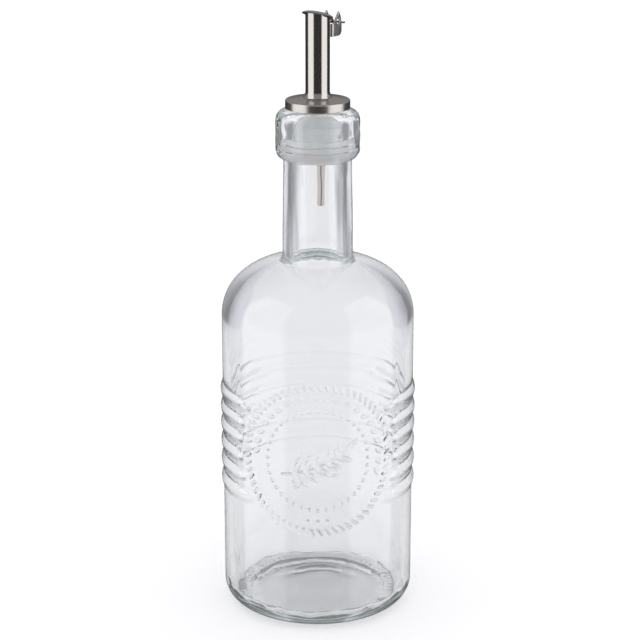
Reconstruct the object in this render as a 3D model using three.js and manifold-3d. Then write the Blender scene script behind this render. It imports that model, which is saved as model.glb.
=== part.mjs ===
// Glass dispenser bottle for oil or vinegar, with a steel flap pourer pressed into its mouth.
// Millimetres, +Z up. The bottle stands on z = 0 and its axis is the Z axis.
import * as THREE from 'three';
import { mergeVertices } from 'three/addons/utils/BufferGeometryUtils.js';
import Module from 'manifold-3d';

const wasm = await Module();
wasm.setup();

// ---- driving dimensions ----
const gap = 0.3;               // clearance between neighbouring pieces

const bodyRadius = 38;         // glass body
const wall = 3;
const heelRadius = 8.5;
const bearingInner = 27.5;     // the ring that the bottle stands on reaches from here to the heel
const pushUp = 3.2;            // hollow under the base
const baseThickness = 5;
const shoulderStart = 119.9;
const shoulderEnd = 142.75;
const neckFootRadius = 14.76;
const neckRadiusLow = 13.8;
const neckRadiusHigh = 13.3;
const neckFoot = 147;
const collarBottom = 183;
const lipTop = 202.1;
const collarRadius = 16.33;
const collarTopRound = 4.3;
const collarBottomRound = 3.4;
const neckBoreRadius = 9.6;
const mouthBoreRadius = 9.25;

const ribRadius = 38.9;        // crest of the six grip ribs
const ribHalfHeight = 2.5;
const ribCentres = [89.8, 82.4, 75.5, 68, 60.4, 52.4];
const medallionCentre = 71.9;  // round panel on the front, facing -Y
const medallionHalfWidth = 27;
const medallionHalfHeight = 30;
const medallionRim = 1.4;      // half the width of its raised border
const ribStop = 2.6;           // the ribs end this far outside the border
const reliefRoot = bodyRadius - 1.2;   // raised shapes start inside the wall
const reliefFront = bodyRadius + 5;    // and are trimmed by shapes that reach out past it

const plugBottom = 182.8;      // plastic stopper
const plugRadius = 7.8;
const plugFins = [186.6, 191.6, 196.6];
const plugFinHalf = 0.7;
const plugFlangeRadius = 11.6;
const plugFlangeTop = 204.6;

const capRadius = 12.55;       // steel cap over the stopper's flange
const capSheet = 0.6;
const capRim = 205.9;

const tubeRadius = 4.7;        // pouring tube
const tubeWall = 0.45;
const tubeBottom = 196;
const mouthHeight = 238;       // height of the slanted mouth on the tube's axis
const mouthSlope = Math.atan(0.31);

const ventRadius = 1.75;       // breather tube beside the pouring channel
const ventWall = 0.5;
const ventOffset = 2.2;
const ventBottom = 163.9;
const ventTop = 230;

const headTurn = THREE.MathUtils.degToRad(54);   // direction of the hinge, seen from above
const pinDistance = 8.9;       // hinge pin, behind the tube's axis
const pinHeight = 234.75;
const pinRadius = 0.4;
const pinHalfLength = 6.2;
const lidRadius = 6.1;
const lidSheet = 0.5;
const knuckleRadius = 0.8;     // the lid's tongue curls round the pin
const tongueHalfWidth = 0.7;
const tongueStart = 4.9;

const bracketHalfWidth = 3.4;  // hinge bracket: a folded channel, its back against the tube, with two pointed ears
const bracketSheet = 0.6;
const bracketBend = 1.6;
const bracketDepth = 11.7;     // from the tube's axis to the free edges
const bracketBottom = 229.3;
const bracketTop = 234.2;
const bracketCorner = 2;
const earFrontZ = 232.5;       // where the free edge starts to lean in towards the tip
const earTipX = 9.95;
const earTipZ = 238.7;
const earHoleX = 9.4;          // the holes are wide for the pin, so the lid swings freely
const earHoleZ = 234.85;
const earHoleRadius = 1.05;

const roundSteps = 36;         // segments of the large turned shapes
const smallSteps = 24;
const panelSteps = 16;         // per half of the round panel's outline

// ---- materials ----
const clearGlass = new THREE.MeshStandardMaterial({ color: 0xdfe5e4, roughness: 0.05, metalness: 0 });
const milkyPlastic = new THREE.MeshStandardMaterial({ color: 0xd5dde2, roughness: 0.35, metalness: 0 });
const brushedSteel = new THREE.MeshStandardMaterial({ color: 0x8d8681, roughness: 0.35, metalness: 1 });
const polishedSteel = new THREE.MeshStandardMaterial({ color: 0xc9c5c0, roughness: 0.15, metalness: 1 });

// ---- helpers ----
const point = (r, z) => new THREE.Vector2(r, z);

// points of an arc in a profile, angles in degrees from the +r direction
function arc(centreR, centreZ, radius, from, to, steps) {
  const points = [];
  for (let i = 0; i <= steps; i++) {
    const angle = THREE.MathUtils.degToRad(from + (to - from) * i / steps);
    points.push(point(centreR + radius * Math.cos(angle), centreZ + radius * Math.sin(angle)));
  }
  return points;
}

// a turned shape about Z; the profile runs with the material on its left
function turned(profile, steps) {
  const geometry = new THREE.LatheGeometry(profile, steps);
  geometry.rotateX(Math.PI / 2);
  return geometry;
}

// a hollow turned shape: the profile closes on itself
function ring(profile, steps) {
  return turned([...profile, profile[0].clone()], steps);
}

// a plate whose outline lies in the X-Z plane, from y = low to y = high
function plate(shape, low, high, curveSegments = 6) {
  const geometry = new THREE.ExtrudeGeometry(shape, { depth: high - low, bevelEnabled: false, curveSegments });
  geometry.rotateX(Math.PI / 2);
  geometry.translate(0, high, 0);
  return geometry;
}

// a round bar along Y
function bar(radius, x, z, low, high, steps) {
  const geometry = new THREE.CylinderGeometry(radius, radius, high - low, steps);
  geometry.translate(x, (low + high) / 2, z);
  return geometry;
}

function solid(geometry) {
  const plain = geometry.clone();
  plain.deleteAttribute('normal');
  plain.deleteAttribute('uv');
  const merged = mergeVertices(plain, 1e-4);
  const corners = merged.index.array;
  const kept = [];
  for (let i = 0; i < corners.length; i += 3) {
    const [a, b, c] = corners.slice(i, i + 3);
    if (a !== b && b !== c && c !== a) kept.push(a, b, c);
  }
  const vertProperties = new Float32Array(merged.attributes.position.array);
  return new wasm.Manifold(new wasm.Mesh({ numProp: 3, vertProperties, triVerts: new Uint32Array(kept) }));
}

function fromSolid(body) {
  const mesh = body.getMesh();
  const geometry = new THREE.BufferGeometry();
  geometry.setAttribute('position', new THREE.BufferAttribute(new Float32Array(mesh.vertProperties), 3));
  geometry.setIndex(new THREE.BufferAttribute(new Uint32Array(mesh.triVerts), 1));
  return geometry;
}

function node(name, geometry, material) {
  const mesh = new THREE.Mesh(geometry, material);
  mesh.name = name;
  return mesh;
}

// ---- glass bottle ----
function shoulderCurve(startR, startZ, endR, endZ) {
  const pull = 0.64;
  const lean = 0.14;
  return new THREE.CubicBezierCurve(
    point(startR, startZ),
    point(startR, startZ + (endZ - startZ) * pull),
    point(endR + (startR - endR) * 0.43, endZ - (startR - endR) * 0.43 * lean),
    point(endR, endZ)).getPoints(9);
}

function bottleProfile() {
  const innerRadius = bodyRadius - wall;
  const innerHeel = heelRadius - wall + 2;
  const floor = pushUp + baseThickness;
  return [
    point(0, pushUp),
    point(bearingInner - 10.5, pushUp * 0.9),
    point(bearingInner, 0),
    ...arc(bodyRadius - heelRadius, heelRadius, heelRadius, -90, 0, 6),
    ...shoulderCurve(bodyRadius, shoulderStart, neckFootRadius, shoulderEnd),
    point(neckRadiusLow + 0.25, shoulderEnd + 1.4),
    point(neckRadiusLow, neckFoot),
    point(neckRadiusHigh, collarBottom),
    ...arc(collarRadius - collarBottomRound, collarBottom + collarBottomRound, collarBottomRound, -75, 0, 4),
    ...arc(collarRadius - collarTopRound, lipTop - collarTopRound, collarTopRound, 0, 90, 5),
    point(mouthBoreRadius + 1, lipTop),
    point(mouthBoreRadius + 0.2, lipTop - 0.8),
    point(mouthBoreRadius, lipTop - 2),
    point(mouthBoreRadius, collarBottom + 2),
    point(neckBoreRadius, collarBottom - 6),
    point(neckBoreRadius + 0.3, neckFoot - 1),
    ...shoulderCurve(innerRadius, shoulderStart - 1, neckBoreRadius + 1.4, shoulderEnd - wall).reverse(),
    ...arc(innerRadius - innerHeel, floor + innerHeel - 1, innerHeel, 0, -80, 4),
    point(0, floor),
  ];
}

function gripRibs() {
  const stop = new THREE.Shape();
  stop.absellipse(0, medallionCentre, medallionHalfWidth + ribStop, medallionHalfHeight + ribStop + 0.7);
  const cutter = solid(plate(stop, -reliefFront, 0, panelSteps));
  return ribCentres.map((z) => {
    const rib = ring([
      point(reliefRoot, z - ribHalfHeight),
      point(bodyRadius, z - ribHalfHeight),
      point(ribRadius, z - ribHalfHeight * 0.45),
      point(ribRadius, z + ribHalfHeight * 0.45),
      point(bodyRadius, z + ribHalfHeight),
      point(reliefRoot, z + ribHalfHeight),
    ], roundSteps);
    return solid(rib).subtract(cutter);
  });
}

function medallionBorder() {
  const outline = new THREE.Shape();
  outline.absellipse(0, medallionCentre, medallionHalfWidth + medallionRim, medallionHalfHeight + medallionRim);
  const hole = new THREE.Path();
  hole.absellipse(0, medallionCentre, medallionHalfWidth - medallionRim, medallionHalfHeight - medallionRim);
  outline.holes.push(hole);
  const reach = medallionHalfHeight + 4;
  const shell = ring([
    point(reliefRoot, medallionCentre - reach),
    point(ribRadius, medallionCentre - reach),
    point(ribRadius, medallionCentre + reach),
    point(reliefRoot, medallionCentre + reach),
  ], roundSteps);
  return solid(plate(outline, -reliefFront, -reliefRoot / 2, panelSteps)).intersect(solid(shell));
}

function glassBottle() {
  let body = solid(turned(bottleProfile(), roundSteps));
  for (const rib of gripRibs()) body = body.add(rib);
  body = body.add(medallionBorder());
  return node('glass_bottle', fromSolid(body), clearGlass);
}

// ---- stopper and cap ----
const channelRadius = tubeRadius - tubeWall;     // pouring channel through stopper and tube
const tubeSeat = tubeRadius + gap;

function stopperPlug() {
  const finRadius = mouthBoreRadius - gap;
  const fins = plugFins.flatMap((z) => [
    point(plugRadius, z - plugFinHalf),
    point(finRadius, z - plugFinHalf * 0.6),
    point(finRadius, z + plugFinHalf * 0.6),
    point(plugRadius, z + plugFinHalf),
  ]);
  const flangeBottom = lipTop + gap;
  return node('stopper_plug', ring([
    point(channelRadius, plugBottom),
    point(plugRadius - 1, plugBottom),
    point(plugRadius, plugBottom + 1.2),
    ...fins,
    point(plugRadius + 0.6, flangeBottom - 1),
    point(plugRadius + 0.6, flangeBottom),
    point(plugFlangeRadius, flangeBottom),
    point(plugFlangeRadius, plugFlangeTop),
    point(tubeSeat, plugFlangeTop),
    point(tubeSeat, tubeBottom - gap),
    point(channelRadius, tubeBottom - gap),
  ], smallSteps), milkyPlastic);
}

function pourerCap() {
  const underside = plugFlangeTop + gap;
  const skirtBottom = lipTop + gap + 0.1;
  return node('pourer_cap', ring([
    point(capRadius - capSheet, skirtBottom),
    point(capRadius, skirtBottom),
    point(capRadius, capRim - 0.6),
    point(capRadius - 0.2, capRim - 0.2),
    point(capRadius - 0.6, capRim),
    point(tubeSeat + 3, capRim + 0.4),
    point(tubeSeat + 1.2, capRim + 0.8),
    point(tubeSeat + 0.6, capRim + 1.5),
    point(tubeSeat + 0.35, capRim + 2.9),
    point(tubeSeat, capRim + 3.1),
    point(tubeSeat, underside),
    point(capRadius - capSheet, underside),
  ], smallSteps + 12), brushedSteel);
}

// ---- pouring head; X points to the hinge and Y runs along its pin ----
function spoutTube() {
  const tube = solid(ring([
    point(channelRadius, tubeBottom),
    point(tubeRadius, tubeBottom),
    point(tubeRadius, mouthHeight + 5),
    point(channelRadius, mouthHeight + 5),
  ], smallSteps));
  const offcut = new THREE.BoxGeometry(30, 30, 20);
  offcut.translate(0, 0, 10);
  offcut.rotateY(mouthSlope);
  offcut.translate(0, 0, mouthHeight);
  return node('spout_tube', fromSolid(tube.subtract(solid(offcut))), polishedSteel);
}

function ventTube() {
  const mesh = node('vent_tube', ring([
    point(ventRadius - ventWall, ventBottom),
    point(ventRadius, ventBottom),
    point(ventRadius, ventTop),
    point(ventRadius - ventWall, ventTop),
  ], 12), polishedSteel);
  mesh.position.x = ventOffset;
  return mesh;
}

// the channel seen from above, open away from the tube
function bracketPlan() {
  const back = tubeRadius + gap;
  const low = -bracketHalfWidth;
  const high = bracketHalfWidth;
  const centre = back + bracketBend;
  const inner = bracketBend - bracketSheet;
  const shape = new THREE.Shape();
  shape.moveTo(bracketDepth, low);
  shape.lineTo(bracketDepth, low + bracketSheet);
  shape.absarc(centre, low + bracketBend, inner, Math.PI * 1.5, Math.PI, true);
  shape.absarc(centre, high - bracketBend, inner, Math.PI, Math.PI / 2, true);
  shape.lineTo(bracketDepth, high - bracketSheet);
  shape.lineTo(bracketDepth, high);
  shape.absarc(centre, high - bracketBend, bracketBend, Math.PI / 2, Math.PI, false);
  shape.absarc(centre, low + bracketBend, bracketBend, Math.PI, Math.PI * 1.5, false);
  return shape;
}

// the side view of the channel: a low back, and walls that rise to a pointed ear
function bracketSide() {
  const back = tubeRadius;
  const bulge = 0.05;
  const shape = new THREE.Shape();
  shape.moveTo(back, bracketTop);
  shape.lineTo(back, bracketBottom);
  shape.absarc(bracketDepth - bracketCorner, bracketBottom + bracketCorner, bracketCorner, -Math.PI / 2, 0, false);
  shape.lineTo(bracketDepth, earFrontZ);
  shape.quadraticCurveTo(bracketDepth + bulge, earHoleZ + earHoleRadius, earTipX, earTipZ);
  shape.lineTo(back + gap + bracketBend, bracketTop);
  return shape;
}

function hingeBracket() {
  const height = earTipZ - bracketBottom;
  const reach = bracketHalfWidth + 1;
  const band = new THREE.ExtrudeGeometry(bracketPlan(), { depth: height, bevelEnabled: false, curveSegments: 5 });
  band.translate(0, 0, bracketBottom);
  const side = plate(bracketSide(), -reach, reach);
  const holes = bar(earHoleRadius, earHoleX, earHoleZ, -reach, reach, 16);
  const body = solid(band).intersect(solid(side)).subtract(solid(holes));
  return node('hinge_bracket', fromSolid(body), polishedSteel);
}

function hingePin() {
  return node('hinge_pin', bar(pinRadius, pinDistance, pinHeight, -pinHalfLength, pinHalfLength, 12), polishedSteel);
}

// the lid's own frame lies in the plane of the slanted mouth
function flapLid() {
  const dome = solid(turned([
    point(0, 0.8),
    point(2.5, 0.7),
    point(tubeRadius, 0.45),
    point(5.2, 0.25),
    point(5.55, -0.1),
    point(5.9, -0.2),
    point(lidRadius, 0),
    point(5.6, 0.55),
    point(4.4, 1),
    point(2.5, 1.22),
    point(0, 1.3),
  ], smallSteps));
  const sine = Math.sin(mouthSlope);
  const cosine = Math.cos(mouthSlope);
  const drop = pinHeight - mouthHeight;
  const pinX = pinDistance * cosine - drop * sine;
  const pinZ = pinDistance * sine + drop * cosine;
  const tongue = new THREE.BoxGeometry(pinX - tongueStart, 2 * tongueHalfWidth, lidSheet);
  tongue.translate((pinX + tongueStart) / 2, 0, 0.4);
  const curl = bar(knuckleRadius, pinX, pinZ, -tongueHalfWidth, tongueHalfWidth, 16);
  const bore = bar(pinRadius + gap / 3, pinX, pinZ, -2, 2, 16);
  const lid = dome.add(solid(tongue)).add(solid(curl)).subtract(solid(bore));
  const mesh = node('flap_lid', fromSolid(lid), polishedSteel);
  mesh.rotation.y = mouthSlope;
  mesh.position.z = mouthHeight;
  return mesh;
}

// ---- assembly ----
const head = new THREE.Group();
head.rotation.z = headTurn;
head.add(spoutTube(), ventTube(), hingeBracket(), hingePin(), flapLid());

const dispenser = new THREE.Group();
dispenser.add(glassBottle(), stopperPlug(), pourerCap(), head);

export default dispenser;
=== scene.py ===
import math

import bmesh
import bpy
import numpy as np
from mathutils import Matrix, Vector, noise


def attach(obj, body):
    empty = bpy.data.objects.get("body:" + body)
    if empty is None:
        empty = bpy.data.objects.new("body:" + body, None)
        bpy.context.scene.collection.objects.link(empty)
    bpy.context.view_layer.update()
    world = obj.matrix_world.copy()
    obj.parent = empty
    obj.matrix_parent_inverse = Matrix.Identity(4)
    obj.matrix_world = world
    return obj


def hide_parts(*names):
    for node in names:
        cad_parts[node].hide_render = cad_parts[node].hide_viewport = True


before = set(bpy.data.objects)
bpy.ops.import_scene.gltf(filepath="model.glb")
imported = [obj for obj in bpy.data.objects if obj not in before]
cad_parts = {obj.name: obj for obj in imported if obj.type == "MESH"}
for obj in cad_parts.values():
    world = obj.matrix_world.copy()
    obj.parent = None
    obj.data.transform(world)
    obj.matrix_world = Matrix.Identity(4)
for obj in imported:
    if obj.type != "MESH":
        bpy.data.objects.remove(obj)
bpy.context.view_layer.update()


def mm(value):
    return value * 0.001


def hexColour(text):
    # sRGB hex to a linear colour with alpha 1
    parts = [int(text[i:i + 2], 16) / 255 for i in (1, 3, 5)]
    return tuple(p / 12.92 if p <= 0.04045 else ((p + 0.055) / 1.055) ** 2.4 for p in parts) + (1,)


def addNode(tree, kind, settings=None, links=None):
    node = tree.nodes.new(kind)
    for key, value in (settings or {}).items():
        if isinstance(key, int) or key in node.inputs:
            node.inputs[key].default_value = value
        else:
            setattr(node, key, value)
    for key, source in (links or {}).items():
        tree.links.new(source, node.inputs[key])
    return node


def newMaterial(name):
    material = bpy.data.materials.new(name)
    material.use_nodes = True
    material.node_tree.nodes.clear()
    return material, material.node_tree


def arcPoints(centreR, centreZ, radius, start, end, steps):
    points = []
    for i in range(steps + 1):
        a = math.radians(start + (end - start) * i / steps)
        points.append((centreR + radius * math.cos(a), centreZ + radius * math.sin(a)))
    return points


def curvePoints(p0, p1, p2, p3, steps):
    points = []
    for i in range(steps + 1):
        t = i / steps
        w = ((1 - t) ** 3, 3 * t * (1 - t) ** 2, 3 * t * t * (1 - t), t ** 3)
        points.append(tuple(sum(k * p[axis] for k, p in zip(w, (p0, p1, p2, p3))) for axis in (0, 1)))
    return points


def linePoints(p0, p1, steps):
    dx, dy = p1[0] - p0[0], p1[1] - p0[1]
    return [(p0[0] + dx * i / steps, p0[1] + dy * i / steps) for i in range(steps + 1)]


def withoutRepeats(points):
    kept = [points[0]]
    for p in points[1:]:
        if math.dist(p, kept[-1]) > 1e-4:
            kept.append(p)
    return kept


def spinProfile(points, sweeps=((360, 96),), closed=False):
    # turns a profile (radius, height in mm) about Z; sweeps are (degrees, steps), starting at +X
    bm = bmesh.new()
    verts = [bm.verts.new((mm(r), 0, mm(z))) for r, z in withoutRepeats(points)]
    edges = [bm.edges.new(pair) for pair in zip(verts, verts[1:])]
    if closed:
        edges.append(bm.edges.new((verts[-1], verts[0])))
    rim = verts + edges
    for degrees, steps in sweeps:
        turned = bmesh.ops.spin(bm, geom=rim, cent=(0, 0, 0), axis=(0, 0, 1),
                                angle=math.radians(degrees), steps=steps, use_merge=len(sweeps) == 1)
        rim = turned["geom_last"]
    bmesh.ops.remove_doubles(bm, verts=bm.verts, dist=mm(0.002))
    bmesh.ops.dissolve_degenerate(bm, edges=bm.edges, dist=mm(0.001))
    bmesh.ops.recalc_face_normals(bm, faces=bm.faces)
    return bm


def makePiece(name, bm, material, body, node, sharpAngle=38):
    mesh = bpy.data.meshes.new(name)
    bm.to_mesh(mesh)
    bm.free()
    mesh.polygons.foreach_set("use_smooth", [True] * len(mesh.polygons))
    if sharpAngle:
        mesh.set_sharp_from_angle(angle=math.radians(sharpAngle))
    piece = bpy.data.objects.new(name, mesh)
    bpy.context.scene.collection.objects.link(piece)
    mesh.materials.append(material)
    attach(piece, body)
    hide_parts(node)
    return piece


studio = {
    "pitch": 17.11,          # degrees down
    "distance": 0.797,
    "lookAt": (0.0009, 0, 0.1172),
    "lens": 113.08,
    "softBox": {"azimuth": 69, "distance": 0.95, "width": 1.3, "height": 2.0, "low": -0.55, "rise": 0.1,
                "soft": 0.2, "colour": "#ffffff", "centre": 1.5, "rim": 0.1},
    "greyCard": {"azimuth": 131, "distance": 0.34, "width": 0.52, "height": 0.6, "low": 0.001, "rise": 0.09,
                 "soft": 0.19, "colour": "#f8f8ff", "centre": 0.3, "rim": 1.0},
    # the glowing sleeve that paints a reflection, dark ahead and bright to the sides, onto the breather tube
    "ventReflectionSleeve": {"radius": 7.5, "low": 148, "high": 182, "centreX": 1.3, "dark": 1.2, "bright": 2.6,
               "darkLight": 0.06, "brightLight": 1.1},
    "room": "#fdfdff",
    "fill": 1.09,            # room light
    "mirroredLow": 0.05,     # what polished parts mirror between the boxes, below and above the horizon
    "mirroredHigh": 0.34,
    "throughHigh": 0.33,      # what the glass shows of the room high up, as a share of the room light
}


def placeCamera():
    pitch = math.radians(studio["pitch"])
    x, y, z = studio["lookAt"]
    camera = bpy.data.objects.new("camera", bpy.data.cameras.new("camera"))
    camera.data.lens = studio["lens"]
    camera.data.sensor_width = 36
    away = studio["distance"]
    camera.location = (x, y - away * math.cos(pitch), z + away * math.sin(pitch))
    camera.rotation_euler = (math.pi / 2 - pitch, 0, 0)
    bpy.context.scene.collection.objects.link(camera)
    bpy.context.scene.camera = camera


def placePanel(name, azimuth, p, seenBy):
    # an upright panel facing the bottle, azimuth 0 on the camera's side; its brightness runs from
    # "centre" in the middle to "rim" at its edges, and only reflections or only refraction show it
    material, tree = newMaterial(name)
    place = addNode(tree, "ShaderNodeTexCoord")
    split = addNode(tree, "ShaderNodeSeparateXYZ", {}, {0: place.outputs["Object"]})
    away = addNode(tree, "ShaderNodeMath", {"operation": "ABSOLUTE"}, {0: split.outputs["X"]})
    side, foot = p["width"] / 2, -p["height"] / 2
    fall = addNode(tree, "ShaderNodeMapRange", {
        "interpolation_type": "SMOOTHSTEP", "From Min": side - p["soft"], "From Max": side,
        "To Min": p["centre"], "To Max": p["rim"]}, {"Value": away.outputs[0]})
    upright = addNode(tree, "ShaderNodeMapRange", {
        "interpolation_type": "SMOOTHSTEP", "From Min": foot, "From Max": foot + p["rise"],
        "To Min": p["rim"]}, {"Value": split.outputs["Y"], "To Max": fall.outputs[0]})
    # a matt surface is lit as if the panel were plain room
    path = addNode(tree, "ShaderNodeLightPath")
    lifted = addNode(tree, "ShaderNodeMath", {"operation": "MINIMUM", 1: 1.0},
                     {0: path.outputs["Diffuse Depth"]})
    strength = addNode(tree, "ShaderNodeMath", {"operation": "MAXIMUM"},
                       {0: upright.outputs[0], 1: lifted.outputs[0]})
    shader = addNode(tree, "ShaderNodeEmission", {"Color": hexColour(p["colour"])},
                     {"Strength": strength.outputs[0]})
    addNode(tree, "ShaderNodeOutputMaterial", {}, {"Surface": shader.outputs[0]})
    material.cycles.emission_sampling = "NONE"
    bm = bmesh.new()
    bmesh.ops.create_grid(bm, x_segments=1, y_segments=1, size=0.5)
    bmesh.ops.scale(bm, vec=(p["width"], p["height"], 1), verts=bm.verts)
    mesh = bpy.data.meshes.new(name)
    bm.to_mesh(mesh)
    bm.free()
    mesh.materials.append(material)
    panel = bpy.data.objects.new(name, mesh)
    a = math.radians(azimuth)
    panel.location = (p["distance"] * math.sin(a), -p["distance"] * math.cos(a), p["low"] + p["height"] / 2)
    panel.rotation_euler = (math.pi / 2, 0, a)
    panel.visible_camera = False
    panel.visible_diffuse = False
    panel.visible_shadow = False
    panel.visible_glossy = seenBy == "mirror"
    panel.visible_transmission = seenBy == "glass"
    bpy.context.scene.collection.objects.link(panel)


def firstSight(tree, path, kind):
    # 1 for this kind of ray unless a matt surface came before it, so the plain room lights the floor
    return addNode(tree, "ShaderNodeMath", {"operation": "SUBTRACT", "use_clamp": True},
                   {0: path.outputs[kind], 1: path.outputs["Diffuse Depth"]}).outputs[0]


def placeWorld():
    # an even pale room; what the shiny parts mirror is darker below the horizon than above it
    world = bpy.data.worlds.new("studio")
    world.use_nodes = True
    tree = world.node_tree
    tree.nodes.clear()
    path = addNode(tree, "ShaderNodeLightPath")
    fill = studio["fill"]
    room = addNode(tree, "ShaderNodeBackground", {"Color": hexColour(studio["room"]), "Strength": fill})
    place = addNode(tree, "ShaderNodeTexCoord")
    split = addNode(tree, "ShaderNodeSeparateXYZ", {}, {0: place.outputs["Generated"]})
    height = addNode(tree, "ShaderNodeMapRange", {
        "From Min": 0.02, "From Max": 0.3,
        "To Min": studio["mirroredLow"], "To Max": studio["mirroredHigh"]}, {"Value": split.outputs["Z"]})
    mirrored = addNode(tree, "ShaderNodeBackground", {"Color": (1, 1, 1, 1)},
                       {"Strength": height.outputs[0]})
    dimming = addNode(tree, "ShaderNodeMapRange", {
        "From Min": 0.02, "From Max": 0.24,
        "To Min": fill, "To Max": fill * studio["throughHigh"]}, {"Value": split.outputs["Z"]})
    through = addNode(tree, "ShaderNodeBackground", {"Color": hexColour(studio["room"])},
                      {"Strength": dimming.outputs[0]})
    mixed = addNode(tree, "ShaderNodeMixShader", {}, {
        0: firstSight(tree, path, "Is Glossy Ray"), 1: room.outputs[0], 2: mirrored.outputs[0]})
    mixed = addNode(tree, "ShaderNodeMixShader", {}, {
        0: firstSight(tree, path, "Is Transmission Ray"), 1: mixed.outputs[0], 2: through.outputs[0]})
    addNode(tree, "ShaderNodeOutputWorld", {}, {"Surface": mixed.outputs[0]})
    bpy.context.scene.world = world


def placeVentReflection():
    # a painted reflection: a glowing sleeve that only reflections show, bright to the sides and dark ahead,
    # round the breather tube, so that steel seen through the neck's glass mirrors the same room as the steel
    # above it
    s = studio["ventReflectionSleeve"]
    material, tree = newMaterial("ventReflectionSleeve")
    place = addNode(tree, "ShaderNodeTexCoord")
    split = addNode(tree, "ShaderNodeSeparateXYZ", {}, {0: place.outputs["Object"]})
    off = addNode(tree, "ShaderNodeMath", {"operation": "SUBTRACT", 1: mm(s["centreX"])},
                  {0: split.outputs["X"]})
    away = addNode(tree, "ShaderNodeMath", {"operation": "ABSOLUTE"}, {0: off.outputs[0]})
    fall = addNode(tree, "ShaderNodeMapRange", {
        "From Min": mm(s["dark"]), "From Max": mm(s["bright"]), "To Min": s["darkLight"],
        "To Max": s["brightLight"]},
        {"Value": away.outputs[0]})
    shader = addNode(tree, "ShaderNodeEmission", {}, {"Strength": fall.outputs[0]})
    addNode(tree, "ShaderNodeOutputMaterial", {}, {"Surface": shader.outputs[0]})
    material.cycles.emission_sampling = "NONE"
    bm = spinProfile(((s["radius"], s["low"]), (s["radius"], s["high"])), ((360, 48),))
    mesh = bpy.data.meshes.new("ventReflectionSleeve")
    bm.to_mesh(mesh)
    bm.free()
    mesh.materials.append(material)
    ventReflectionSleeve = bpy.data.objects.new("ventReflectionSleeve", mesh)
    ventReflectionSleeve.visible_camera = False
    ventReflectionSleeve.visible_diffuse = False
    ventReflectionSleeve.visible_shadow = False
    ventReflectionSleeve.visible_transmission = False
    bpy.context.scene.collection.objects.link(ventReflectionSleeve)


def placeFloor():
    material, tree = newMaterial("matt white table laminate")
    matt = addNode(tree, "ShaderNodeBsdfDiffuse", {"Color": hexColour("#fdfdfd")})
    addNode(tree, "ShaderNodeOutputMaterial", {}, {"Surface": matt.outputs[0]})
    bm = bmesh.new()
    bmesh.ops.create_grid(bm, x_segments=1, y_segments=1, size=6)
    mesh = bpy.data.meshes.new("floor")
    bm.to_mesh(mesh)
    bm.free()
    floor = bpy.data.objects.new("floor", mesh)
    floor.location.z = -0.0002
    mesh.materials.append(material)
    floor.visible_glossy = False
    bpy.context.scene.collection.objects.link(floor)


placeCamera()
for side, sign in (("Right", 1), ("Left", -1)):
    for kind, seenBy in (("softBox", "mirror"), ("greyCard", "glass")):
        placePanel(kind + side, sign * studio[kind]["azimuth"], studio[kind], seenBy)
placeWorld()
# a painted reflection for the breather tube, from a glowing sleeve that only reflections show
placeVentReflection()
placeFloor()
bpy.context.scene.view_settings.view_transform = "Standard"
bpy.context.scene.cycles.max_bounces = 40
bpy.context.scene.cycles.transmission_bounces = 32
bpy.context.scene.cycles.glossy_bounces = 32
print("stage: studio")


def sodaGlass():
    # pressed soda-lime glass: clear, faintly green-grey where it is thick, with a fire-polished skin
    material, tree = newMaterial("pressed soda-lime glass")
    shader = addNode(tree, "ShaderNodeBsdfPrincipled", {
        "Base Color": hexColour("#f4f4f5"), "Roughness": 0.0, "IOR": 1.5, "Transmission Weight": 1.0})
    depth = addNode(tree, "ShaderNodeVolumeAbsorption", {"Color": hexColour("#dfe9e6"), "Density": 9})
    place = addNode(tree, "ShaderNodeTexCoord")
    ripple = addNode(tree, "ShaderNodeTexNoise", {"Scale": 90, "Detail": 1},
                     {"Vector": place.outputs["Object"]})
    bump = addNode(tree, "ShaderNodeBump", {"Strength": 0.08, "Distance": mm(0.3)},
                   {"Height": ripple.outputs["Fac"]})
    tree.links.new(bump.outputs[0], shader.inputs["Normal"])
    addNode(tree, "ShaderNodeOutputMaterial", {},
            {"Surface": shader.outputs[0], "Volume": depth.outputs[0]})
    return material


def polyethylene():
    # injection-moulded polyethylene: milky, light passes but no picture, slight waxy sheen
    material, tree = newMaterial("moulded milky polyethylene")
    shader = addNode(tree, "ShaderNodeBsdfPrincipled", {
        "Base Color": hexColour("#fcfbfa"), "Roughness": 0.3, "IOR": 1.5,
        "Transmission Weight": 0.55, "Subsurface Weight": 0.3})
    place = addNode(tree, "ShaderNodeTexCoord")
    cloud = addNode(tree, "ShaderNodeTexNoise", {"Scale": 160, "Detail": 2},
                    {"Vector": place.outputs["Object"]})
    bump = addNode(tree, "ShaderNodeBump", {"Strength": 0.15, "Distance": mm(0.1)},
                   {"Height": cloud.outputs["Fac"]})
    tree.links.new(bump.outputs[0], shader.inputs["Normal"])
    addNode(tree, "ShaderNodeOutputMaterial", {}, {"Surface": shader.outputs[0]})
    return material


def steel(name, colour, roughness, streaks, strength):
    # stainless steel; fine marks run round the part, so they stretch the mirror image up and down
    material, tree = newMaterial(name)
    place = addNode(tree, "ShaderNodeTexCoord")
    spread = addNode(tree, "ShaderNodeMapping", {"Scale": streaks}, {"Vector": place.outputs["Object"]})
    grain = addNode(tree, "ShaderNodeTexNoise", {"Scale": 1000, "Detail": 3}, {"Vector": spread.outputs[0]})
    bump = addNode(tree, "ShaderNodeBump", {"Strength": strength, "Distance": mm(0.02)},
                   {"Height": grain.outputs["Fac"]})
    shine = addNode(tree, "ShaderNodeMapRange", {"To Min": roughness * 0.8, "To Max": roughness * 1.25},
                    {"Value": grain.outputs["Fac"]})
    shader = addNode(tree, "ShaderNodeBsdfPrincipled", {"Base Color": hexColour(colour), "Metallic": 1.0},
                     {"Roughness": shine.outputs[0], "Normal": bump.outputs[0]})
    addNode(tree, "ShaderNodeOutputMaterial", {}, {"Surface": shader.outputs[0]})
    return material


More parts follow.
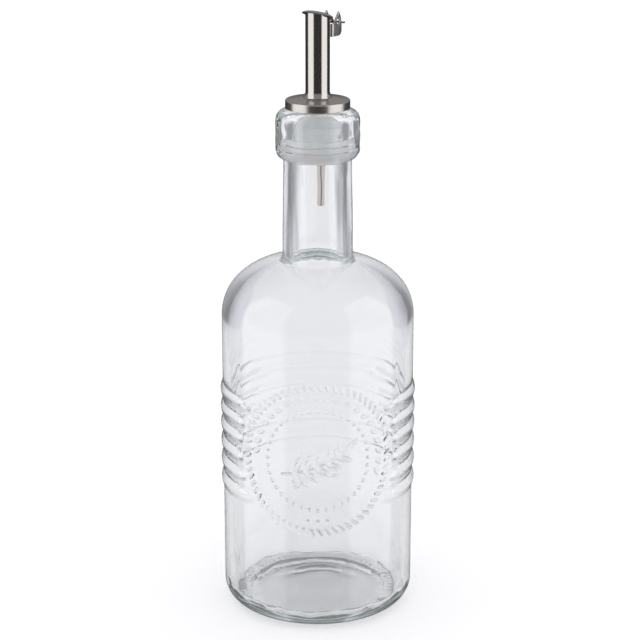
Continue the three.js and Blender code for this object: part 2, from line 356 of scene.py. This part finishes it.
glass = sodaGlass()
plastic = polyethylene()
brushed = steel("spun stainless steel", "#c0bab6", 0.24, (0.3, 0.3, 3), 0.25)
polished = steel("polished stainless steel", "#c2beba", 0.12, (0.5, 0.5, 2), 0.15)
tumbled = steel("tumbled stainless steel", "#b4b2af", 0.3, (1.4, 1.4, 1.4), 0.5)
print("stage: materials")


bottle = {
    "radius": 38.0, "wall": 3.0, "heel": 8.5, "pushUp": 2.6, "base": 3.6, "innerHeel": 3.5,
    "shoulderStart": 119.9, "shoulderEnd": 142.75, "neckFoot": 14.76,
    "neckLow": 13.8, "neckHigh": 13.3, "neckFootEnd": 147,
    "collarBottom": 183.0, "lip": 202.1, "collar": 16.33, "lipRound": 4.3, "collarRound": 3.4,
    "neckBore": 9.6, "mouthBore": 9.25, "mouthRound": 1.1,
    "band": (37, 106),          # between these heights the rows are close enough for the ornament
    "frontHalfAngle": 54, "frontSteps": 80, "backSteps": 72, "rowStep": 0.8, "panelCuts": 2,
}
ribs = {
    "heights": (89.8, 82.4, 75.5, 68.0, 60.4, 52.4), "height": 0.85, "half": 3.0, "endRadius": 33.3,
    "taper": 9, "early": 1.5,               # the length of the pointed end, and how far it reaches inwards
    "sideFullness": 1.15, "backFullness": 0.75,
}
panel = {
    "centre": 71.9, "radius": 33, "edge": 32.6, "edgeSoft": 0.9, "lift": 0.14, "reach": 36,
    "rope": {"radius": 30.0, "count": 65, "along": 0.55, "across": 1.05, "size": 0.66, "height": 0.62},
    "beads": {"radius": 20.4, "count": 40, "size": 0.85, "height": 0.7},
    "wreath": {"radius": 25.3, "pitch": 9.6, "eachSide": 11, "root": (-1.35, -1.4), "tilt": 48,
               "length": 4.0, "width": 0.9, "height": 0.6},
    "studs": {"pitch": 8.5, "eachSide": 1, "size": 1.3, "height": 0.6},
    "sprig": {"line": 0.6, "height": 1.0, "leaf": 7.2, "belly": 0.42, "spread": 0.95,
              "fruit": 1.3, "fruits": ((-8.6, -9.6), (6.6, -4.6))},
}
unevenness = {
    "slow": 0.16, "quick": 0.06,            # the blown inside, mm
    "heelLump": 1.7, "heelHeight": 1.9, "frontShare": 0.35,
    "blobs": (3.71, 2.92, 2.2, 4.4),        # radians round from the front, where the inside bulges
    "blobRadius": 34, "blobAt": 9.5, "blobHeight": 1.4, "blobSize": 6,
    "collar": 0.22, "collarFine": 0.05, "neck": 0.11, "mouth": 0.07,
}
stipple = {"inner": 25.9, "outer": 32.5, "line": 28.5, "lineHalf": 0.8, "count": 72, "height": 0.25}


def bottleProfile():
    b = bottle
    inner = b["radius"] - b["wall"]
    rise = b["pushUp"]
    outside = [(0, rise + 0.5)]
    outside += curvePoints((5, rise + 0.45), (11, rise + 0.3), (13, rise - 0.3), (18, rise - 0.75), 8)
    outside += [(20, rise * 0.66), (23, rise * 0.5), (26, 0.7), (27.0, 0.2), (27.6, 0), (29.4, 0)]
    outside += arcPoints(b["radius"] - b["heel"], b["heel"], b["heel"], -90, 0, 14)
    low, high = b["band"]
    outside += linePoints((b["radius"], b["heel"]), (b["radius"], low), 10)
    outside += linePoints((b["radius"], low), (b["radius"], high), int((high - low) / b["rowStep"]))
    outside += linePoints((b["radius"], high), (b["radius"], b["shoulderStart"]), 4)
    start = (b["radius"], b["shoulderStart"])
    end = (b["neckFoot"], b["shoulderEnd"])
    outside += curvePoints(start, (start[0], start[1] + 14.7), (end[0] + 10, end[1] - 1.4), end, 26)
    outside += curvePoints(end, (end[0] - 0.7, end[1] + 0.1), (b["neckLow"], end[1] + 1),
                           (b["neckLow"], b["neckFootEnd"]), 6)
    neckTop = (b["neckHigh"], b["collarBottom"])
    outside += linePoints((b["neckLow"], b["neckFootEnd"]), (neckTop[0], neckTop[1] - 0.6), 8)
    outside += curvePoints((neckTop[0], neckTop[1] - 0.6), neckTop, neckTop,
                           (neckTop[0] + 0.5, neckTop[1] + 0.1), 3)
    collarLow, collarHigh = b["collarBottom"] + b["collarRound"], b["lip"] - b["lipRound"]
    outside += arcPoints(b["collar"] - b["collarRound"], collarLow, b["collarRound"], -75, 0, 9)
    outside += linePoints((b["collar"], collarLow), (b["collar"], collarHigh), 12)
    outside += arcPoints(b["collar"] - b["lipRound"], collarHigh, b["lipRound"], 0, 90, 12)
    mouth = b["mouthRound"]
    outside += arcPoints(b["mouthBore"] + mouth, b["lip"] - mouth, mouth, 90, 180, 6)
    inside = [(b["mouthBore"], b["lip"] - 3 - i) for i in range(13)]
    inside += [(b["mouthBore"] + 0.05, b["collarBottom"] + 1)]
    inside += curvePoints((b["mouthBore"] + 0.05, b["collarBottom"] + 1), (b["mouthBore"] + 0.1, 180),
                          (b["neckBore"], 178), (b["neckBore"], 174), 5)
    inside += linePoints((b["neckBore"], 174), (b["neckBore"] + 0.4, b["neckFootEnd"]), 5)
    top = (b["neckBore"] + 2.1, b["shoulderEnd"] - b["wall"] - 0.3)
    inside += curvePoints((b["neckBore"] + 0.4, b["neckFootEnd"]), (b["neckBore"] + 0.45, 143),
                          (b["neckBore"] + 0.9, 140.4), top, 5)
    inside += curvePoints(top, (top[0] + 9, top[1] - 1.3), (inner, b["shoulderStart"] + 12.2),
                          (inner, b["shoulderStart"] - 1.5), 20)
    heel = b["innerHeel"]
    floorHeight = b["pushUp"] + b["base"]
    inside += linePoints((inner, b["shoulderStart"] - 1.5), (inner, floorHeight + heel), 34)
    inside += arcPoints(inner - heel, floorHeight + heel - 1, heel, 0, -82, 12)
    inside += linePoints((inner - heel + 1, floorHeight - 0.95), (0, floorHeight), 12)
    return outside + inside


def smoothStep(x):
    x = np.clip(x, 0, 1)
    return x * x * (3 - 2 * x)


def rounded(distance, size, height):
    # a raised shape with soft shoulders: distance 0 in the middle, size at its edge
    return height * np.clip(1 - (distance / size) ** 2, 0, 1)


def capsule(u, v, u0, v0, u1, v1, size, height):
    # a raised stroke from (u0, v0) to (u1, v1)
    du, dv = u1 - u0, v1 - v0
    t = np.clip(((u - u0) * du + (v - v0) * dv) / (du * du + dv * dv), 0, 1)
    return rounded(np.hypot(u - u0 - t * du, v - v0 - t * dv), size, height)


def leaf(u, v, u0, v0, angle, length, width, height):
    # a pointed leaf with a vein, from its stem end at (u0, v0)
    c, s = math.cos(angle), math.sin(angle)
    along = ((u - u0) * c + (v - v0) * s) / length
    across = -(u - u0) * s + (v - v0) * c
    half = width * np.sin(np.pi * np.clip(along, 0, 1)) ** 0.8 + 1e-6
    inside = (along > 0) & (along < 1) & (np.abs(across) < half)
    crown = height * np.sqrt(np.clip(1 - (across / half) ** 2, 0, 1)) ** 0.7
    vein = 1 - 0.55 * np.exp(-(across / 0.22) ** 2)
    return np.where(inside, crown * vein, 0)


def ribRelief(u, v):
    # grip ribs round the back and sides, pointed where they meet the panel; v is the height above its centre
    r = ribs
    relief = np.zeros_like(u)
    towardsBack = smoothStep((np.abs(u) - 60) / 15)
    power = r["sideFullness"] - (r["sideFullness"] - r["backFullness"]) * towardsBack
    for z in r["heights"]:
        offset = z - panel["centre"]
        tip = math.sqrt(r["endRadius"] ** 2 - offset ** 2)
        along = np.clip((np.abs(u) - tip + r["early"]) / r["taper"], 0, 1)
        half = r["half"] * np.sqrt(along) + 1e-6
        crest = np.clip(1 - ((v - offset) / half) ** 2, 0, 1) * smoothStep(along * 2.5)
        relief = np.maximum(relief, r["height"] * crest ** power)
    return relief


def repeatRound(angle, count, radius):
    # distance along a ring of this radius from the nearest of its evenly spaced members
    step = 2 * np.pi / count
    return (angle / step - np.round(angle / step)) * step * radius


def wreathRelief(angle, rho):
    # slanted leaves over the upper part, leaning away from the top, and three studs at the bottom
    w, low = panel["wreath"], panel["studs"]
    out = rho - w["radius"]
    fromTop, pitch = angle - math.pi / 2, math.radians(w["pitch"])
    index = np.round(fromTop / pitch)
    turn = (fromTop - index * pitch) * w["radius"] * np.where(index >= 0, 1, -1)
    leaves = leaf(turn, out, *w["root"], math.radians(w["tilt"]), w["length"], w["width"], w["height"])
    fromBottom, pitch = angle + math.pi / 2, math.radians(low["pitch"])
    place = np.round(fromBottom / pitch)
    turn = (fromBottom - place * pitch) * w["radius"]
    studs = rounded(np.abs(turn) + np.abs(out), low["size"], low["height"])
    return np.maximum(leaves * (np.abs(index) <= w["eachSide"]), studs * (np.abs(place) <= low["eachSide"]))


def panelRelief(u, v):
    # the round front panel: a rope ring, a wreath, a ring of beads and a sprig in the middle
    rope, beads = panel["rope"], panel["beads"]
    rho = np.hypot(u, v)
    angle = np.arctan2(v, u)
    deeper = 1 + 0.5 * smoothStep(-v / 20)      # the lower strokes stand a little higher
    shallower = 1 - 0.5 * (u / rope["radius"]) ** 2
    relief = panel["lift"] * smoothStep((panel["edge"] - rho) / panel["edgeSoft"])
    turn = repeatRound(angle, rope["count"], rope["radius"])
    strokes = capsule(turn, rho - rope["radius"], -rope["along"], -rope["across"],
                      rope["along"], rope["across"], rope["size"], rope["height"]) * shallower * deeper
    relief = np.maximum(relief, panel["lift"] + strokes * (rho < panel["radius"]))
    turn = repeatRound(angle, beads["count"], beads["radius"])
    bead = rounded(np.hypot(turn, rho - beads["radius"]), beads["size"], beads["height"]) * deeper
    ground = panel["lift"] * (rho < panel["radius"])
    for raised in (bead, wreathRelief(angle, rho), sprigRelief(u, v)):
        relief = np.maximum(relief, ground + raised)
    return relief


def sprigRelief(u, v):
    # an olive sprig drawn in raised lines: a bowed stem, outlined leaves and two fruits
    b = panel["sprig"]
    relief = np.zeros_like(u)

    def stroke(points):
        drawn = relief
        for (u0, v0), (u1, v1) in zip(points, points[1:]):
            drawn = np.maximum(drawn, capsule(u, v, u0, v0, u1, v1, b["line"], b["height"]))
        return drawn

    def leafOutline(u0, v0, heading, length):
        tip = (u0 + length * math.cos(heading), v0 + length * math.sin(heading))
        drawn = relief
        for side in (-1, 1):
            lean = heading + side * b["belly"]
            bow = [(u0 + 0.55 * length * math.cos(lean), v0 + 0.55 * length * math.sin(lean))]
            bow.append((tip[0] - 0.35 * length * math.cos(heading - side * b["belly"]),
                        tip[1] - 0.35 * length * math.sin(heading - side * b["belly"])))
            drawn = np.maximum(drawn, stroke(curvePoints((u0, v0), bow[0], bow[1], tip, 5)))
        return drawn

    stem = curvePoints((-14, -6), (-5, -5), (4, -2), (11.5, 4.4), 6)
    relief = stroke(stem)
    for i, (u0, v0) in enumerate(stem[1:-1], 1):
        heading = math.atan2(stem[i + 1][1] - stem[i][1], stem[i + 1][0] - stem[i][0])
        for side in (-1, 1):
            relief = leafOutline(u0, v0, heading + side * b["spread"], b["leaf"] - 0.35 * i)
    relief = leafOutline(*stem[-1], 0.75, b["leaf"] - 2)
    for u0, v0 in b["fruits"]:
        ring = np.abs(np.hypot(u - u0, v - v0) - b["fruit"])
        relief = np.maximum(relief, rounded(ring, b["line"], b["height"]))
    return relief


def fade(value, start, length):
    return min(1, max(0, (value - start) / length))


def unevenInside(co, radius, grow):
    # the blown inside is a little uneven, more so round the heel at the back
    e = unevenness
    inner = bottle["radius"] - bottle["wall"]
    inside = (radius > 20) & (radius < inner + 0.05) & (co[:, 2] > 4.8) & (co[:, 2] < 132)
    away = e["blobRadius"]
    spots = [Vector((math.sin(a) * away, -math.cos(a) * away, e["blobAt"])) for a in e["blobs"]]
    for i in np.nonzero(inside)[0]:
        p = Vector(co[i])
        wave = noise.noise(p * 0.055) * e["slow"] + noise.noise(p * 0.14 + Vector((9, 0, 0))) * e["quick"]
        low = max(0.0, 1 - max(0.0, p.z - 8) / 9)
        share = e["frontShare"] + (1 - e["frontShare"]) * smoothStep(0.5 + p.y / 30)
        lump = noise.noise(p * 0.17 + Vector((0, 31, 0))) * e["heelLump"] * low * share
        for spot in spots:
            lump -= e["blobHeight"] * math.exp(-(p - spot).length_squared / e["blobSize"])
        grow[i] += (wave + lump) * fade(radius[i], 20, 10)
        if p.z < 12:
            drop = noise.noise(p * 0.15 + Vector((17, 0, 0)))
            co[i, 2] += e["heelHeight"] * share * drop * fade(radius[i], 24, 6)


def unevenNeck(co, radius, grow):
    # the fire-polished collar, the drawn neck and the mouth's bore are a little uneven too
    e = unevenness
    for i in np.nonzero((co[:, 2] > 145) & (radius > 9) & (co[:, 2] < bottle["lip"] - 0.8))[0]:
        p = Vector(co[i])
        if p.z > bottle["collarBottom"] and radius[i] > 12.5:
            grow[i] += e["collar"] * noise.noise(p * 0.3) + e["collarFine"] * noise.noise(p * 0.8)
        elif p.z < 178:
            grow[i] += e["neck"] * noise.noise(Vector((p.x * 0.4, p.y * 0.4, p.z * 0.07)))
        elif radius[i] < 11:
            grow[i] += e["mouth"] * noise.noise(p * 0.35)


def stippleFoot(co, radius, phi):
    # ridged stippling on the ring that the bottle stands on, with a plain line round its middle
    t = stipple
    ring = (co[:, 2] < 1.0) & (radius > t["inner"]) & (radius < t["outer"])
    r = radius[ring]
    ridges = t["height"] * (0.5 + 0.5 * np.cos(phi[ring] * t["count"]))
    edges = smoothStep(r - t["inner"]) * smoothStep(t["outer"] - r)
    co[ring, 2] += ridges * edges * (np.abs(r - t["line"]) > t["lineHalf"])


def shapeBottle(mesh):
    count = len(mesh.vertices)
    co = np.empty(count * 3)
    mesh.vertices.foreach_get("co", co)
    co = co.reshape(-1, 3) * 1000
    radius = np.hypot(co[:, 0], co[:, 1])
    phi = np.arctan2(co[:, 0], -co[:, 1])            # 0 at the front
    u = bottle["radius"] * phi
    v = co[:, 2] - panel["centre"]
    outer = (radius > bottle["radius"] - 0.05) & (np.abs(v) < panel["reach"])
    front = outer & (np.abs(phi) < math.radians(bottle["frontHalfAngle"]))
    grow = np.zeros(count)
    grow[outer] = ribRelief(u[outer], v[outer])
    grow[front] = np.maximum(grow[front], panelRelief(u[front], v[front]))
    unevenInside(co, radius, grow)
    unevenNeck(co, radius, grow)
    scale = (np.where(outer, bottle["radius"], radius) + grow) / np.maximum(radius, 1e-6)
    co[:, 0] *= scale
    co[:, 1] *= scale
    stippleFoot(co, radius, phi)
    mesh.vertices.foreach_set("co", (co / 1000).ravel())
    mesh.update()


def makeBottle():
    b = bottle
    half = b["frontHalfAngle"]
    sweeps = ((2 * half, b["frontSteps"]), (360 - 2 * half, b["backSteps"]))
    bm = spinProfile(bottleProfile(), sweeps)
    turn = Matrix.Rotation(math.radians(-90 - half), 4, "Z")
    bmesh.ops.transform(bm, matrix=turn, verts=bm.verts)
    # the panel's ornament and the stippled foot need a finer mesh than the plain glass
    fine = []
    for edge in bm.edges:
        middle = (edge.verts[0].co + edge.verts[1].co) / 2 * 1000
        u = b["radius"] * math.atan2(middle.x, -middle.y)
        r = math.hypot(middle.x, middle.y)
        onPanel = r > b["radius"] - 0.1 and math.hypot(u, middle.z - panel["centre"]) < panel["radius"]
        onFoot = middle.z < 0.5 and 27 < r < 33
        if onPanel or onFoot:
            fine.append(edge)
    bmesh.ops.subdivide_edges(bm, edges=fine, cuts=b["panelCuts"], use_grid_fill=True)
    piece = makePiece("bottleGlass", bm, glass, "bottle", "glass_bottle", sharpAngle=0)
    shapeBottle(piece.data)
    piece.visible_shadow = False
    return piece


bottleGlass = makeBottle()
print("stage: bottle", len(bottleGlass.data.polygons))


stopper = {
    "bottom": 182.8, "core": 8.8, "bore": 4.25, "seat": 5.0, "seatBottom": 195.7,
    "flange": 11.6, "flangeBottom": 202.4, "flangeTop": 204.6,
    # each land's low edge, high edge and radius
    "lands": ((183.6, 186.1, 9.4), (186.5, 188.5, 9.4), (188.9, 191.2, 9.4), (194, 196.4, 9.05),
              (199.8, 201.7, 9.4)),
}


def makeStopper():
    s = stopper
    profile = [(s["bore"], s["bottom"]), (s["bore"] + 1.6, s["bottom"])]
    profile += curvePoints((s["bore"] + 1.6, s["bottom"]), (s["core"] - 0.4, s["bottom"]),
                           (s["core"] + 0.7, s["bottom"] + 0.6), (s["core"] + 0.7, s["bottom"] + 2), 5)
    # the lands press against the glass, except the fourth, and there are grooves between them
    for low, high, r in s["lands"]:
        profile += curvePoints((s["core"], low), (r, low), (r, low), (r, low + 0.3), 4)
        profile += curvePoints((r, high - 0.3), (r, high), (r, high), (s["core"], high), 4)
    profile += [(s["core"] + 0.6, s["flangeBottom"] - 1), (s["core"] + 0.6, s["flangeBottom"]),
                (s["flange"], s["flangeBottom"]), (s["flange"], s["flangeTop"]),
                (s["seat"], s["flangeTop"]), (s["seat"], s["seatBottom"]), (s["bore"], s["seatBottom"])]
    bm = spinProfile(profile, ((360, 96),), closed=True)
    return makePiece("stopperBody", bm, plastic, "pourer", "stopper_plug")


makeStopper()


cap = {"radius": 12.55, "sheet": 0.6, "bottom": 202.5, "rim": 205.9, "under": 204.9, "seat": 5.0}


def makeCap():
    c = cap
    edge = 0.7
    burr = 0.15
    profile = [(c["radius"] - c["sheet"], c["bottom"]), (c["radius"] - burr, c["bottom"])]
    profile += [(c["radius"], c["bottom"] + burr)]
    profile += arcPoints(c["radius"] - edge, c["rim"] - edge, edge, 0, 82, 7)
    profile += curvePoints((c["radius"] - edge, c["rim"]), (9.5, c["rim"] + 0.3),
                           (7.5, c["rim"] + 0.6), (5.9, c["rim"] + 0.9), 12)
    profile += [(5.6, c["rim"] + 0.9), (c["seat"], c["rim"] + 0.6), (c["seat"], c["under"]),
                (c["radius"] - c["sheet"] - 0.3, c["under"]), (c["radius"] - c["sheet"], c["under"] - 0.3)]
    bm = spinProfile(profile, ((360, 128),), closed=True)
    return makePiece("capShell", bm, brushed, "pourer", "pourer_cap")


makeCap()


head = {
    "turn": 54,                       # degrees, where the hinge lies seen from above
    "tube": 4.7, "bore": 4.25, "tubeBottom": 196.0, "mouth": 238.0, "slope": math.atan(0.31),
    "vent": 1.75, "ventBore": 1.25, "ventOffset": 2.2, "ventBottom": 163.9, "ventTop": 230.0,
    "pinDistance": 8.9, "pinHeight": 234.75, "pin": 0.4, "pinHalf": 6.2,
    "lid": 6.1, "curl": 0.8, "tongue": 0.7, "tongueRoot": 2.6, "tongueSheet": 0.4,
}
bracket = {
    "back": 5.0, "halfWidth": 3.4, "depth": 11.7, "sheet": 0.6, "bend": 1.6, "bottom": 229.3, "top": 234.2,
    "corner": 2.0, "earFront": 232.5, "tipX": 9.95, "tipZ": 238.7,
    "holeX": 9.4, "holeZ": 234.85, "hole": 1.05, "burr": 0.07,
}
headTurn = Matrix.Rotation(math.radians(head["turn"]), 4, "Z")


def makeTube():
    h = head
    high = h["mouth"] + 4
    foot = cap["rim"] + 0.95
    profile = [(h["bore"], h["tubeBottom"]), (h["tube"], h["tubeBottom"])]
    profile += [(h["tube"], foot - 1.5), (h["tube"], foot - 0.4)]
    profile += curvePoints((5.6, foot), (5.35, foot + 0.5), (4.85, foot + 0.9), (h["tube"], foot + 2.1), 8)
    profile += linePoints((h["tube"], foot + 2.2), (h["tube"], high), 20)
    profile += [(h["bore"], high), (h["bore"], h["tubeBottom"] + 20)]
    bm = spinProfile(profile, ((360, 96),), closed=True)
    normal = Vector((math.sin(h["slope"]), 0, math.cos(h["slope"])))
    geometry = list(bm.verts) + list(bm.edges) + list(bm.faces)
    cut = bmesh.ops.bisect_plane(bm, geom=geometry, plane_co=(0, 0, mm(h["mouth"])), plane_no=normal,
                                 clear_outer=True)
    edges = [e for e in cut["geom_cut"] if isinstance(e, bmesh.types.BMEdge)]
    bmesh.ops.bridge_loops(bm, edges=edges)
    rim = [e for e in edges if e.is_valid]
    bmesh.ops.bevel(bm, geom=rim, offset=mm(0.1), affect="EDGES", segments=2, profile=0.5, material=-1)
    bmesh.ops.recalc_face_normals(bm, faces=bm.faces)
    bmesh.ops.transform(bm, matrix=headTurn, verts=bm.verts)
    return makePiece("pouringTube", bm, polished, "pourer", "spout_tube")


def makeVent():
    h = head
    lip = 0.12
    low = h["ventBottom"]
    profile = [(h["ventBore"], low + lip), (h["ventBore"] + lip, low), (h["vent"] - lip, low)]
    profile += [(h["vent"], low + lip), (h["vent"], h["ventTop"]), (h["ventBore"], h["ventTop"])]
    bm = spinProfile(profile, ((360, 48),), closed=True)
    bmesh.ops.translate(bm, vec=(mm(h["ventOffset"]), 0, 0), verts=bm.verts)
    bmesh.ops.transform(bm, matrix=headTurn, verts=bm.verts)
    return makePiece("breatherTube", bm, polished, "pourer", "vent_tube")


def extrudeOutline(points, plane, low, high):
    # a plate from an outline in mm; plane names its two axes, and it grows along the third, low to high
    bm = bmesh.new()
    third = ({"x", "y", "z"} - set(plane)).pop()
    verts = []
    for a, b in points:
        place = {plane[0]: a, plane[1]: b, third: low}
        verts.append(bm.verts.new((mm(place["x"]), mm(place["y"]), mm(place["z"]))))
    face = bm.faces.new(verts)
    grown = bmesh.ops.extrude_face_region(bm, geom=[face])
    move = {"x": 0, "y": 0, "z": 0, third: mm(high - low)}
    bmesh.ops.translate(bm, vec=(move["x"], move["y"], move["z"]),
                        verts=[v for v in grown["geom"] if isinstance(v, bmesh.types.BMVert)])
    bmesh.ops.recalc_face_normals(bm, faces=bm.faces)
    return bm


def addTo(bm, other):
    mesh = bpy.data.meshes.new("joined")
    other.to_mesh(mesh)
    other.free()
    bm.from_mesh(mesh)
    bpy.data.meshes.remove(mesh)


def hingeRing(inner, outer, x, z, low, high, steps=32):
    # a short ring or rod round an axis along Y
    edge = 0.06
    profile = [(inner, low), (outer - edge, low), (outer, low + edge)]
    profile += [(outer, high - edge), (outer - edge, high), (inner, high)]
    bm = spinProfile(profile, ((360, steps),), closed=inner > 0)
    bmesh.ops.rotate(bm, cent=(0, 0, 0), matrix=Matrix.Rotation(math.radians(-90), 3, "X"), verts=bm.verts)
    bmesh.ops.translate(bm, vec=(mm(x), 0, mm(z)), verts=bm.verts)
    return bm


def foldPath(w):
    # where a distance w along the flat sheet ends up on the folded channel, seen from above
    b = bracket
    bend = b["bend"] - b["sheet"] / 2
    half = b["halfWidth"] - b["sheet"] / 2
    centre = b["back"] + b["bend"]
    arm = b["depth"] - centre
    quarter = bend * math.pi / 2
    web = 2 * (half - bend)
    far = max(0, w - arm - quarter - web)
    if w <= arm:
        return b["depth"] - w, -half
    if far == 0 and w > arm + quarter:
        return centre - bend, -half + bend + w - arm - quarter
    if far == 0:
        a = (w - arm) / bend
        return centre - bend * math.sin(a), -half + bend - bend * math.cos(a)
    if far <= quarter:
        a = far / bend
        return centre - bend * math.cos(a), half - bend + bend * math.sin(a)
    return centre + far - quarter, half


def makeBracket():
    # cut flat from sheet, folded into a channel, given its thickness, then its edges are broken
    b = bracket
    bend = b["bend"] - b["sheet"] / 2
    arm = b["depth"] - b["back"] - b["bend"]
    length = 2 * arm + bend * math.pi + 2 * (b["halfWidth"] - b["bend"])
    tip = b["depth"] - b["tipX"]
    low, corner = b["bottom"], b["corner"]
    point = b["tipZ"]
    edge = curvePoints((tip + 0.28, point - 0.35), (tip + 0.1, point), (tip - 0.1, point),
                       (tip - 0.22, point - 0.4), 4)
    edge += curvePoints((tip - 0.22, point - 0.4), (0.6, 237), (0, 235.4), (0, b["earFront"]), 8)
    edge += arcPoints(corner, low + corner, corner, 180, 270, 6)
    slope = [(arm + 0.3, b["top"]), (arm - 0.15, b["top"] + 0.15)]
    outline = edge + [(length - w, z) for w, z in reversed(edge)]
    outline += [(length - w, z) for w, z in reversed(slope)] + slope
    bm = bmesh.new()
    loops = [withoutRepeats(outline)]
    hole = b["depth"] - b["holeX"]
    for centre in (hole, length - hole):
        loops.append(arcPoints(centre, b["holeZ"], b["hole"], 0, 345, 23))
    for loop in loops:
        verts = [bm.verts.new((mm(w), 0, mm(z))) for w, z in loop]
        for pair in zip(verts, verts[1:] + verts[:1]):
            bm.edges.new(pair)
    bmesh.ops.triangle_fill(bm, edges=bm.edges, use_beauty=True)
    quarter = bend * math.pi / 2
    cuts = [arm - 0.12] + [arm + quarter * i / 8 for i in range(9)] + [arm + quarter + 0.12]
    for w in cuts + [length - c for c in cuts]:
        geometry = list(bm.verts) + list(bm.edges) + list(bm.faces)
        bmesh.ops.bisect_plane(bm, geom=geometry, plane_co=(mm(w), 0, 0), plane_no=(1, 0, 0))
    for v in bm.verts:
        x, y = foldPath(v.co.x * 1000)
        v.co.x, v.co.y = mm(x), mm(y)
    bmesh.ops.recalc_face_normals(bm, faces=bm.faces)
    bmesh.ops.solidify(bm, geom=bm.faces[:], thickness=mm(b["sheet"]))
    bmesh.ops.recalc_face_normals(bm, faces=bm.faces)
    crisp = [e for e in bm.edges if e.is_manifold and e.calc_face_angle() > math.radians(50)]
    bmesh.ops.bevel(bm, geom=crisp, offset=mm(b["burr"]), affect="EDGES", segments=2, profile=0.5,
                    material=-1)
    xs = [v.co.x for v in bm.verts]
    ys = [v.co.y for v in bm.verts]
    shift = (mm(b["back"]) - min(xs), -(min(ys) + max(ys)) / 2, 0)
    bmesh.ops.translate(bm, vec=shift, verts=bm.verts)
    bmesh.ops.transform(bm, matrix=headTurn, verts=bm.verts)
    return makePiece("hingeBracket", bm, tumbled, "pourer", "hinge_bracket")


def makePin():
    h = head
    bm = hingeRing(0, h["pin"], h["pinDistance"], h["pinHeight"], -h["pinHalf"], h["pinHalf"], 24)
    bmesh.ops.transform(bm, matrix=headTurn, verts=bm.verts)
    return makePiece("hingePin", bm, polished, "flap", "hinge_pin")


def makeLid():
    # made flat, in the plane of the slanted mouth, then tilted onto it
    h = head
    profile = [(0, 0.85)] + curvePoints((0.5, 0.85), (3, 0.85), (4.6, 0.6), (5.25, 0.2), 8)
    profile += curvePoints((5.4, -0.05), (5.6, -0.35), (5.95, -0.3), (h["lid"], 0.0), 5)
    profile += curvePoints((h["lid"], 0.0), (5.7, 0.9), (3.2, 1.3), (0.5, 1.35), 12) + [(0, 1.35)]
    bm = spinProfile(profile, ((360, 72),))
    sine, cosine = math.sin(h["slope"]), math.cos(h["slope"])
    drop = h["pinHeight"] - h["mouth"]
    pinX = h["pinDistance"] * cosine - drop * sine
    pinZ = h["pinDistance"] * sine + drop * cosine
    # the tongue leaves the disc wide, narrows, and curls round the pin
    start, sag = 4.4, pinZ + h["curl"] - h["tongueSheet"] - 0.15
    top, under = [], []
    for i in range(13):
        t = i / 12
        x = start + (pinX - start) * t
        z = 0.15 + sag * smoothStep(t)
        under.append((x, z))
        top.append((x, z + h["tongueSheet"]))
    strip = extrudeOutline(top + under[::-1], "xz", -h["tongue"], h["tongue"])
    for v in strip.verts:
        narrow = smoothStep((v.co.x * 1000 - start) / 2.4)
        v.co.y *= (h["tongueRoot"] + (h["tongue"] - h["tongueRoot"]) * narrow) / h["tongue"]
    addTo(bm, strip)
    addTo(bm, hingeRing(h["pin"] + 0.02, h["curl"], pinX, pinZ, -h["tongue"], h["tongue"]))
    tilt = Matrix.Translation((0, 0, mm(h["mouth"]))) @ Matrix.Rotation(h["slope"], 4, "Y")
    bmesh.ops.transform(bm, matrix=headTurn @ tilt, verts=bm.verts)
    return makePiece("flapLid", bm, polished, "flap", "flap_lid")


makeTube()
makeVent()
makeBracket()
makePin()
makeLid()
print("stage: pourer")
